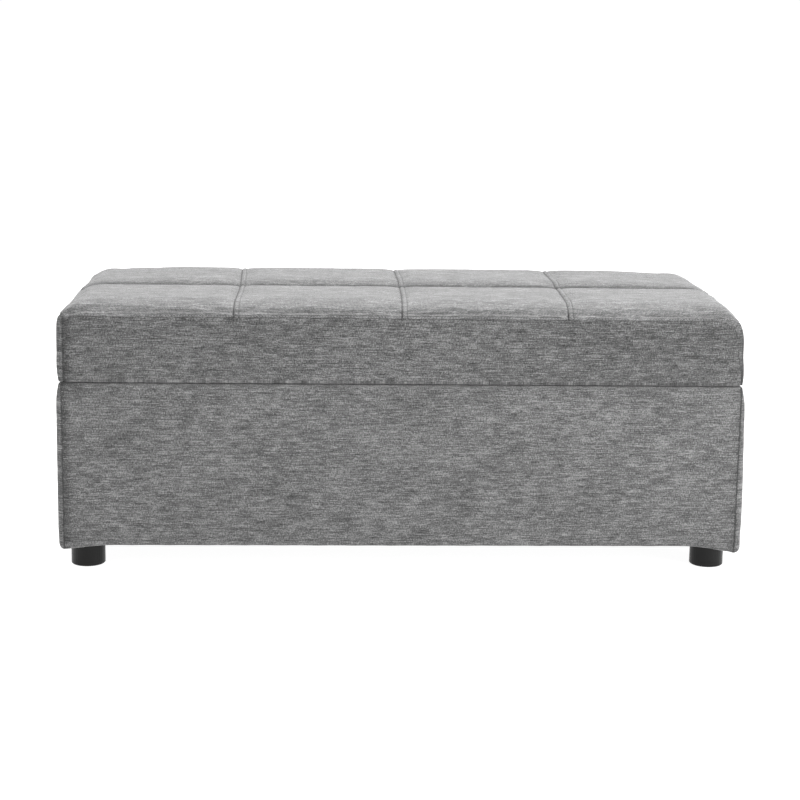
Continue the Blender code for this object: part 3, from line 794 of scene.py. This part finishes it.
def close_pad(points, faces, inner_lo, inner_hi):
    """Closes the top panel with the foam under it: tucked in at its seam, and flat below."""
    counts = {}
    for face in faces:
        for a, b in zip(face, face[1:] + face[:1]):
            counts[(a, b)] = counts.get((a, b), 0) + 1
    rim = [(a, b) for (a, b) in counts if (b, a) not in counts]
    after = dict(rim)
    loop = [rim[0][0]]
    while after[loop[-1]] != loop[0]:
        loop.append(after[loop[-1]])
    ring = loop
    top = points[loop]
    points, faces = list(map(tuple, points)), list(faces)
    tucked = np.clip(top, inner_lo, inner_hi)
    for height in np.linspace(1, 0, 6):
        level = tucked.copy()
        level[:, 2] = (tucked[:, 2] - 2 * MM) * height + inner_lo[2] * (1 - height)
        base = len(points)
        points += [tuple(p) for p in level]
        fresh = list(range(base, base + len(loop)))
        for n in range(len(loop)):
            m = (n + 1) % len(loop)
            faces.append((ring[m], ring[n], fresh[n], fresh[m]))
        ring = fresh
    faces.append(tuple(ring))
    return points, faces


lid_parts = build_lid_cover()
FOAM_LO, FOAM_HI = span("foam_front", "foam_rear")
pad_points, pad_faces = close_pad(*lid_parts["top"], FOAM_LO, FOAM_HI)
pad = new_object("quilted_lid_pad", pad_points, pad_faces, FABRIC_TOP_PAINTED_LIGHTER)
pad_places = points_of(pad)
# Painted shade in the groove between the front and the rear pads: a dark painted line just behind
# the groove and a broad, faint painted shade up the rear pads' slope, both faded out in front of
# it.
behind = pad_places[:, 1] - GROOVE_Y
painted_groove_shade = 0.92 * (1 - smooth(behind, 6 * MM, 23 * MM))
painted_groove_shade += 0.14 * (1 - smooth(behind, 12 * MM, 55 * MM))
painted_groove_shade *= smooth(behind, -6 * MM, -1 * MM)
give_painted_shading(pad, np.maximum(cross_seam_painted_shading(pad_places), painted_groove_shade))
mend(pad)
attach(pad, "lid")
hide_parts("quilted_top", "foam_front", "foam_rear")

def side_sheet(name, part, look, painted_shading, body, node):
    """One sewn side piece, as a sheet as thick as the cloth, with painted shade along its seams.
    """
    piece = new_object(name, *part, look)
    thicken(piece, CLOTH)
    give_painted_shading(piece, seam_painted_shade(points_of(piece), *painted_shading))
    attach(piece, body)
    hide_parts(node)
    return piece


lid_sheets = {}
for place in SIDES:
    long = place in ("front", "rear")
    lid_sheets[place] = side_sheet(
        "lid_band_" + place,
        lid_parts[place],
        BAND_LONG_PAINTED_DARKER if long else BAND_END_PAINTED_DARKER,
        (LID_SEAMS, (SEAM_Z,)),
        "lid",
        "lid_boxing_" + place,
    )


def build_box_cover():
    lo, hi = BOX_LO, BOX_HI
    xs = grid_lines(lo[0], hi[0], 14 * MM, BOX_SEAMS)
    ys = grid_lines(lo[1], hi[1], 14 * MM)
    zs = grid_lines(lo[2], hi[2], 9 * MM)
    left_seam, right_seam = snapped(xs, BOX_SEAMS)
    flat, quads, labels = box_surface(xs, ys, zs)
    centres = flat[np.array(quads)].mean(axis=1)
    sides = side_labels(flat, quads, labels, left_seam, right_seam)
    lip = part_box("front_board")[1].y - lo[1]
    keep, names = [], []
    for number, (label, centre) in enumerate(zip(labels, centres)):
        inset = {"top": lip, "bottom": BOX_HEM}.get(label)
        if inset and edge_distance(centre, lo, hi) > inset:
            continue
        keep.append(number)
        names.append(sides[number])
    points, facing = rounded(flat, lo, hi, BOX_TOP_ROUND, BOX_LOW_ROUND)
    edge_x = np.minimum(np.abs(flat[:, 0] - left_seam), np.abs(flat[:, 0] - right_seam))
    wall = (flat[:, 2] > lo[2] + MM) & (flat[:, 2] < hi[2] - MM)
    pull = np.where(wall, valley(edge_x, *CORNER_SEAM_DIP), 0)
    # The ends are fuller than the boards: pulled in along the top edge, and slack low down.
    part = (flat[:, 2] - lo[2]) / (hi[2] - lo[2])
    fullness = smooth(part, -0.03, 0.04) * smooth(1 - part, 0, 0.12)
    end = smooth(np.abs(flat[:, 0]), hi[0] - 12 * MM, hi[0])
    at_right = (flat[:, 0] > 0).astype(int)
    swell = np.array(BOX_SWELL)[at_right] + np.array(BOX_SLACK)[at_right] * (1 - part)
    points = points + facing * (fullness * end * swell - pull)[:, None]
    tuck = valley(flat[:, 2] - hi[2], *BOX_TUCK)
    points = points - facing * (1, 1, 0) * tuck[:, None]
    corner = np.exp(-(((np.abs(flat[:, 0]) - hi[0]) / (45 * MM)) ** 2))
    points[:, 2] -= np.array(BOX_HANG)[at_right] * corner * np.clip(1 - part * 3, 0, 1)
    sewn = (edge_x < ON_LINE) & wall
    sewn |= np.isclose(flat[:, 2], hi[2]) | np.isclose(flat[:, 2], lo[2])
    faces = [quads[n] for n in keep]
    return filled_cover("box_cover", points, faces, names, sewn, 3.0, 1.8 * MM, 0.003)


box_parts = build_box_cover()
for place in SIDES:
    long = place in ("front", "rear")
    side_sheet(
        "box_wrap_" + place,
        box_parts[place],
        FABRIC_LONG if long else FABRIC_END,
        (BOX_SEAMS,),
        "box",
        "box_cover_" + place,
    )


# ---------------------------------------------------------------- stitches


def sewn_stitches(name, paths, body, length=2.6 * MM, gap=1.9 * MM, width=0.55 * MM):
    """Thread stitches along lines on a cover: small rounded bars that dip in at their ends."""
    points, faces = [], []
    around = 6
    # Along a stitch: the place as a share of its length, the thickness and the lift.
    profile = (
        (-0.5, 0.25, -0.7),
        (-0.36, 0.9, 0.1),
        (0.0, 1.0, 0.45),
        (0.36, 0.9, 0.1),
        (0.5, 0.25, -0.7),
    )
    for path in paths:
        path = [Vector(p) for p in path]
        sizes = [(b - a).length for a, b in zip(path, path[1:])]
        total = sum(sizes)
        place = gap
        while place + length < total:
            middle = place + length / 2
            run, at = 0.0, 0
            while run + sizes[at] < middle:
                run += sizes[at]
                at += 1
            centre = path[at].lerp(path[at + 1], (middle - run) / sizes[at])
            ahead = (path[at + 1] - path[at]).normalized()
            outward = Vector((centre.x * 0.02, centre.y, 0.0))
            outward = (outward - ahead * outward.dot(ahead)).normalized()
            across = ahead.cross(outward)
            base = len(points)
            for along, size, lift in profile:
                for n in range(around):
                    turn = 2 * math.pi * n / around
                    high = width * (lift + size * 0.5 * math.cos(turn))
                    spot = centre + ahead * (along * length) + outward * high
                    points.append(spot + across * (width * size * 0.5 * math.sin(turn)))
            bridge(faces, base, around, len(profile))
            cap_ends(faces, base, around, len(profile))
            place += length + gap
    obj = new_object(name, points, faces, THREAD)
    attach(obj, body)
    return obj


def surface_line(pieces, xs, z, side):
    """Points on the outside of the covers at one height, seen from the front or the rear."""
    trees = []
    for piece in pieces:
        shape = bmesh.new()
        shape.from_mesh(piece.data)
        trees.append(BVHTree.FromBMesh(shape))
        shape.free()
    line = []
    for x in xs:
        start = Vector((x, side * 0.4, z))
        hits = [tree.ray_cast(start, Vector((0, -side, 0)), 0.5)[0] for tree in trees]
        hits = [hit for hit in hits if hit is not None]
        if hits:
            line.append(max(hits, key=lambda hit: side * hit.y))
    return line


STITCH_XS = np.arange(LID_LO[0] + 16 * MM, LID_HI[0] - 9 * MM, 4 * MM)
front_line = surface_line([pad, lid_sheets["front"]], STITCH_XS, SEAM_Z + 2.2 * MM, -1)
rear_line = surface_line([pad, lid_sheets["rear"]], STITCH_XS, SEAM_Z + 2.2 * MM, 1)
sewn_stitches("lid_seam_stitches", [front_line, rear_line], "lid")


# ---------------------------------------------------------------- inside


def flat_sheet(name, node, body, sag):
    """A stapled lining cloth: a thin closed sheet with slight waves between its staples."""
    lo, hi = [np.array(corner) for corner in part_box(node)]
    xs = np.linspace(lo[0], hi[0], 90)
    ys = np.linspace(lo[1], hi[1], 36)
    flat, quads, _ = box_surface(xs, ys, np.array([lo[2], hi[2]]))
    away = np.minimum(flat - lo, hi - flat)[:, :2].min(axis=1)
    level = flat * (1, 1, 0)
    wave = soft_noise(level, 9.0, 3) * 0.5 + soft_noise(level, 26.0, 5) * 0.25 + 0.5
    wave *= smooth(away, 0, 50 * MM)
    scallop = np.sin((flat[:, 0] + flat[:, 1]) * 2 * math.pi / (60 * MM))
    scallop *= 0.25 * MM * (1 - smooth(away, 0, 12 * MM))
    points = flat.copy()
    points[:, 2] -= wave * sag + np.maximum(0, scallop)
    obj = new_object(name, points, quads, SLOT_LOOKS["lining"])
    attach(obj, body)
    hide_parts(node)
    staples(name + "_staples", lo, hi, body)


def staples(name, lo, hi, body):
    """Wire staples round the edge of a sheet, on its underside."""
    points, faces = [], []
    inset, pitch, half, wire = 12 * MM, 62 * MM, 5 * MM, 0.35 * MM
    runs = []
    for y in (lo[1] + inset, hi[1] - inset):
        runs += [((x, y), (1, 0)) for x in np.arange(lo[0] + 30 * MM, hi[0] - 20 * MM, pitch)]
    for x in (lo[0] + inset, hi[0] - inset):
        runs += [((x, y), (0, 1)) for y in np.arange(lo[1] + 30 * MM, hi[1] - 20 * MM, pitch)]
    for (x, y), (dx, dy) in runs:
        sunk, proud = 0.4 * MM, -0.45 * MM
        shape = ((-half, sunk), (-half, proud), (half, proud), (half, sunk))
        base = len(points)
        for step, lift in shape:
            for side, tall in ((-1, -1), (1, -1), (1, 1), (-1, 1)):
                grow = wire * (1 if lift < 0 else 0.6)
                height = lo[2] + lift + (tall * 0.25 * MM if lift < 0 else 0)
                spot_x, spot_y = x + dx * step + dy * side * grow, y + dy * step + dx * side * grow
                points.append((spot_x, spot_y, height))
        bridge(faces, base, 4, len(shape))
        cap_ends(faces, base, 4, len(shape))
    obj = new_object(name, points, faces, SLOT_LOOKS["steel"])
    mend(obj)
    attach(obj, body)


def tray_sheet():
    """The box's lining: a cloth tray folded round the four battens, with soft waves."""
    lo, hi = [np.array(corner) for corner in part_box("cavity_lining")]
    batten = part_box("corner_batten_front_left")
    notch_x = batten[1].x - lo[0] + 0.3 * MM
    notch_y = batten[1].y - lo[1] + 0.3 * MM

    def notched_lines(low, high, notch, count):
        inner = np.linspace(low + notch, high - notch, count)[1:-1]
        ends = [np.linspace(a, a + notch, 5) for a in (low, high - notch)]
        return np.r_[ends[0], inner, ends[1]]

    xs = notched_lines(lo[0], hi[0], notch_x, 100)
    ys = notched_lines(lo[1], hi[1], notch_y, 38)
    zs = np.r_[lo[2], lo[2] + 3 * MM, lo[2] + 8 * MM, np.linspace(lo[2] + 18 * MM, hi[2], 20)]
    flat, quads, labels = box_surface(xs, ys, zs)
    points = flat.copy()
    middle = (lo + hi) / 2
    dx = np.minimum(flat[:, 0] - lo[0], hi[0] - flat[:, 0])
    dy = np.minimum(flat[:, 1] - lo[1], hi[1] - flat[:, 1])
    in_x = np.sign(middle[0] - flat[:, 0])
    in_y = np.sign(middle[1] - flat[:, 1])
    on_end = np.isclose(dx, 0) & (dy < notch_y - 1e-6)
    on_long = np.isclose(dy, 0) & (dx < notch_x - 1e-6) & ~on_end
    edge_x = np.where(in_x > 0, lo[0], hi[0])
    edge_y = np.where(in_y > 0, lo[1], hi[1])
    points[on_end, 0] = (edge_x + in_x * notch_x * (1 - dy / notch_y))[on_end]
    points[on_end, 1] = (edge_y + in_y * notch_y)[on_end]
    points[on_long, 0] = (edge_x + in_x * notch_x)[on_long]
    points[on_long, 1] = (edge_y + in_y * notch_y * (1 - dx / notch_x))[on_long]
    centres = flat[np.array(quads)].mean(axis=1)
    faces = []
    for quad, label, centre in zip(quads, labels, centres):
        near_x = min(centre[0] - lo[0], hi[0] - centre[0]) < notch_x
        near_y = min(centre[1] - lo[1], hi[1] - centre[1]) < notch_y
        if label == "top" or (label == "bottom" and near_x and near_y):
            continue
        faces.append(tuple(reversed(quad)))
    wall = (flat[:, 2] > lo[2] + 5 * MM) & (flat[:, 2] < hi[2] - 5 * MM)
    slack = (soft_noise(points * (1, 1, 0.35), 14.0, 9) * 0.5 + 0.5) * 1.6 * MM * wall
    points[:, 0] += np.where(np.isclose(dx, 0) & (dy > notch_y + 10 * MM), in_x * slack, 0)
    points[:, 1] += np.where(np.isclose(dy, 0) & (dx > notch_x + 10 * MM), in_y * slack, 0)
    floor_part = np.isclose(flat[:, 2], lo[2])
    rise = (soft_noise(points, 7.0, 13) * 0.5 + 0.5) * 1.2 * MM
    rise *= smooth(np.minimum(dx, dy), 10 * MM, 60 * MM)
    points[:, 2] += np.where(floor_part, rise, 0)
    obj = new_object("cavity_lining_cloth", points, faces, SLOT_LOOKS["lining"])
    mend(obj, weld=0.2 * MM, turn=False)
    thicken(obj, LINING, 1)
    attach(obj, "box")
    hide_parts("cavity_lining")


def rim_turn():
    """The cover's edge, turned over the boards: a band round the top of their inner faces."""
    lo, hi = span("front_board", "rear_board", "left_end_board", "right_end_board")
    front_lo, front_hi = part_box("front_board")
    wall = front_hi.y - front_lo.y
    lo, hi = lo + wall, hi - wall
    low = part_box("cavity_lining")[1].z - 4 * MM
    high = BOX_HI[2] - 0.1 * MM
    corners = ((lo[0], lo[1]), (hi[0], lo[1]), (hi[0], hi[1]), (lo[0], hi[1]))
    outline = []
    for (x0, y0), (x1, y1) in zip(corners, corners[1:] + corners[:1]):
        count = int(max(abs(x1 - x0), abs(y1 - y0)) / (12 * MM))
        for part in np.linspace(0, 1, count, endpoint=False):
            outline.append((x0 + (x1 - x0) * part, y0 + (y1 - y0) * part))
    outline = np.array(outline)
    middle = (lo[:2] + hi[:2]) / 2
    inward = np.sign(middle - outline)
    on_end = np.isclose(outline[:, 0], lo[0]) | np.isclose(outline[:, 0], hi[0])
    on_long = np.isclose(outline[:, 1], lo[1]) | np.isclose(outline[:, 1], hi[1])
    inward *= np.stack([on_end, on_long], axis=1)
    # Across the band: how many millimetres inside the board's face, and how high.
    profile = ((-6.0, high), (-2.5, high), (-0.2, high - 0.4 * MM))
    profile += ((0.8, high - 1.6 * MM), (1.0, high - 4 * MM))
    profile += tuple((1.0, high + (low - high) * part) for part in (0.35, 0.55, 0.8, 1.0))
    points, faces = [], []
    edge = 0.3 * MM * np.sin(np.arange(len(outline)) * 1.3)
    for out, z in profile:
        for spot, way, wave in zip(outline, inward, edge):
            points.append((*(spot + way * out * MM), z + (wave if z < low + MM else 0)))
    count = len(outline)
    for ring in range(len(profile) - 1):
        for n in range(count):
            m = (n + 1) % count
            a, b = ring * count, (ring + 1) * count
            faces.append((a + n, b + n, b + m, a + m))
    obj = new_object("box_rim_turn_in", points, faces, TURNED_IN)
    thicken(obj, 0.8 * MM, 0)
    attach(obj, "box")


def screw_heads(name, body, centres, out, around=20):
    """Pan-head screws on a plate, facing out: domed heads with a driver recess."""
    out = Vector(out)
    side = out.orthogonal().normalized()
    other = out.cross(side)
    # From the middle out: the radius and the height in millimetres.
    profile = ((0.0, 0.35), (0.45, 0.35), (0.6, 1.1), (1.4, 1.2))
    profile += ((2.2, 0.9), (2.8, 0.3), (2.9, -0.15))
    points, faces = [], []
    for centre in centres:
        base = len(points)
        for size, lift in profile:
            for n in range(around):
                turn = 2 * math.pi * n / around
                reach = size * (1 + (0.28 * math.cos(4 * turn) if 0.3 < size < 1.0 else 0))
                flat = side * math.cos(turn) + other * math.sin(turn)
                points.append(Vector(centre) + (out * lift + flat * reach) * MM)
        bridge(faces, base, around, len(profile))
    obj = new_object(name, points, faces, SLOT_LOOKS["steel"])
    mend(obj, weld=0.01 * MM, close=True)
    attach(obj, body)


def stay_screws(hand, side):
    """Two screws low on the wall bracket, clear of the arm, and two up through the lid bracket."""
    plate = 2 * MM
    lo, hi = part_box("stay_wall_bracket_" + hand)
    face = lo.x + plate if side < 0 else hi.x - plate
    spots = [(face, lo.y + 6.4 * MM, lo.z + 4.2 * MM), (face, hi.y - 6.4 * MM, lo.z + 4.2 * MM)]
    screw_heads("stay_wall_screws_" + hand, "box", spots, (-side, 0, 0))
    lo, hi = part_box("stay_lid_bracket_" + hand)
    middle = (lo.x + hi.x) / 2 - side * 4 * MM
    spots = [(middle, lo.y + 8 * MM, hi.z - plate), (middle, hi.y - 8 * MM, hi.z - plate)]
    screw_heads("stay_lid_screws_" + hand, "lid", spots, (0, 0, -1))


rim_turn()
stay_screws("left", -1)
stay_screws("right", 1)
flat_sheet("lid_lining_cloth", "lid_lining", "lid", 1.0 * MM)
flat_sheet("dust_cover_cloth", "dust_cover", "box", 1.4 * MM)
tray_sheet()


# ---------------------------------------------------------------- stage


def pale_floor():
    """A pale floor that glows enough to stay white, like a sweep lit from below."""
    mat = bpy.data.materials.new("pale_floor")
    mat.use_nodes = True
    sockets = mat.node_tree.nodes["Principled BSDF"].inputs
    sockets["Base Color"].default_value = (0.25, 0.25, 0.25, 1.0)
    sockets["Roughness"].default_value = 0.9
    sockets["Emission Color"].default_value = (1.0, 1.0, 1.0, 1.0)
    sockets["Emission Strength"].default_value = 0.95
    reach, height = 30, CAD_LO.z - 0.3 * MM
    corners = ((-reach, -reach), (reach, -reach), (reach, reach), (-reach, reach))
    return new_object("floor", [(x, y, height) for x, y in corners], [(0, 1, 2, 3)], mat)


pale_floor()

# The surroundings are dimmer in front of the bench than behind it.
world = bpy.data.worlds.new("studio")
bpy.context.scene.world = world
world.use_nodes = True
sky = world.node_tree
back = sky.nodes["Background"]
where = sky.nodes.new("ShaderNodeTexCoord")
parts = sky.nodes.new("ShaderNodeSeparateXYZ")
sky.links.new(where.outputs["Generated"], parts.inputs[0])
dim = sky.nodes.new("ShaderNodeMapRange")
dim.inputs["From Min"].default_value = -1.0
dim.inputs["From Max"].default_value = -0.1
dim.inputs["To Min"].default_value = 0.50
dim.inputs["To Max"].default_value = 1.02
sky.links.new(parts.outputs[1], dim.inputs["Value"])
sky.links.new(dim.outputs["Result"], back.inputs["Strength"])
back.inputs["Color"].default_value = (1.0, 1.0, 1.0, 1.0)


def put_lamp(data, place, way):
    """Puts a light in the scene, shining one way."""
    lamp = bpy.data.objects.new(data.name, data)
    bpy.context.scene.collection.objects.link(lamp)
    lamp.location = place
    lamp.rotation_mode = "QUATERNION"
    lamp.rotation_quaternion = Vector(way).to_track_quat("-Z", "Y")


def softbox(name, place, aim, width, height, power):
    """A tall soft panel light, aimed at a point."""
    data = bpy.data.lights.new(name, "AREA")
    data.shape = "RECTANGLE"
    data.size, data.size_y = width, height
    data.energy = power
    put_lamp(data, place, Vector(aim) - Vector(place))


overhead = bpy.data.lights.new("overhead", "SUN")
overhead.energy = 5.05
overhead.angle = math.radians(30)
put_lamp(overhead, (0, 0, 0), (-0.10, -0.38, -1.0))
softbox("right_softbox", (1.9, -1.7, 0.9), (0.4, -0.2, 0.2), 0.5, 1.6, 38.0)
softbox("front_strip", (0.3, -2.6, 0.35), (0.1, -0.2, 0.1), 0.12, 0.6, 4.0)
softbox("left_softbox", (-2.3, -2.2, 0.9), (-0.4, -0.2, 0.2), 0.4, 1.6, 4.0)

CAMERA_PLACE = (-0.1433, -3.05, 0.8522)
YAW, PITCH, ROLL = math.radians(2.78), math.radians(11.37), math.radians(0.88)
ahead = Vector((math.sin(YAW), math.cos(YAW), 0)) * math.cos(PITCH)
ahead.z = -math.sin(PITCH)
right = Vector((math.cos(YAW), -math.sin(YAW), 0))
up = right.cross(ahead)
tilted_right = right * math.cos(ROLL) + up * math.sin(ROLL)
tilted_up = up * math.cos(ROLL) - right * math.sin(ROLL)
camera_data = bpy.data.cameras.new("camera")
camera_data.lens = 81.7
camera_data.sensor_width = 36
camera = bpy.data.objects.new("camera", camera_data)
bpy.context.scene.collection.objects.link(camera)
turn = Matrix((tilted_right, tilted_up, -ahead)).transposed().to_4x4()
camera.matrix_world = Matrix.Translation(CAMERA_PLACE) @ turn
bpy.context.scene.camera = camera
bpy.context.scene.view_settings.view_transform = "Standard"

save_size()
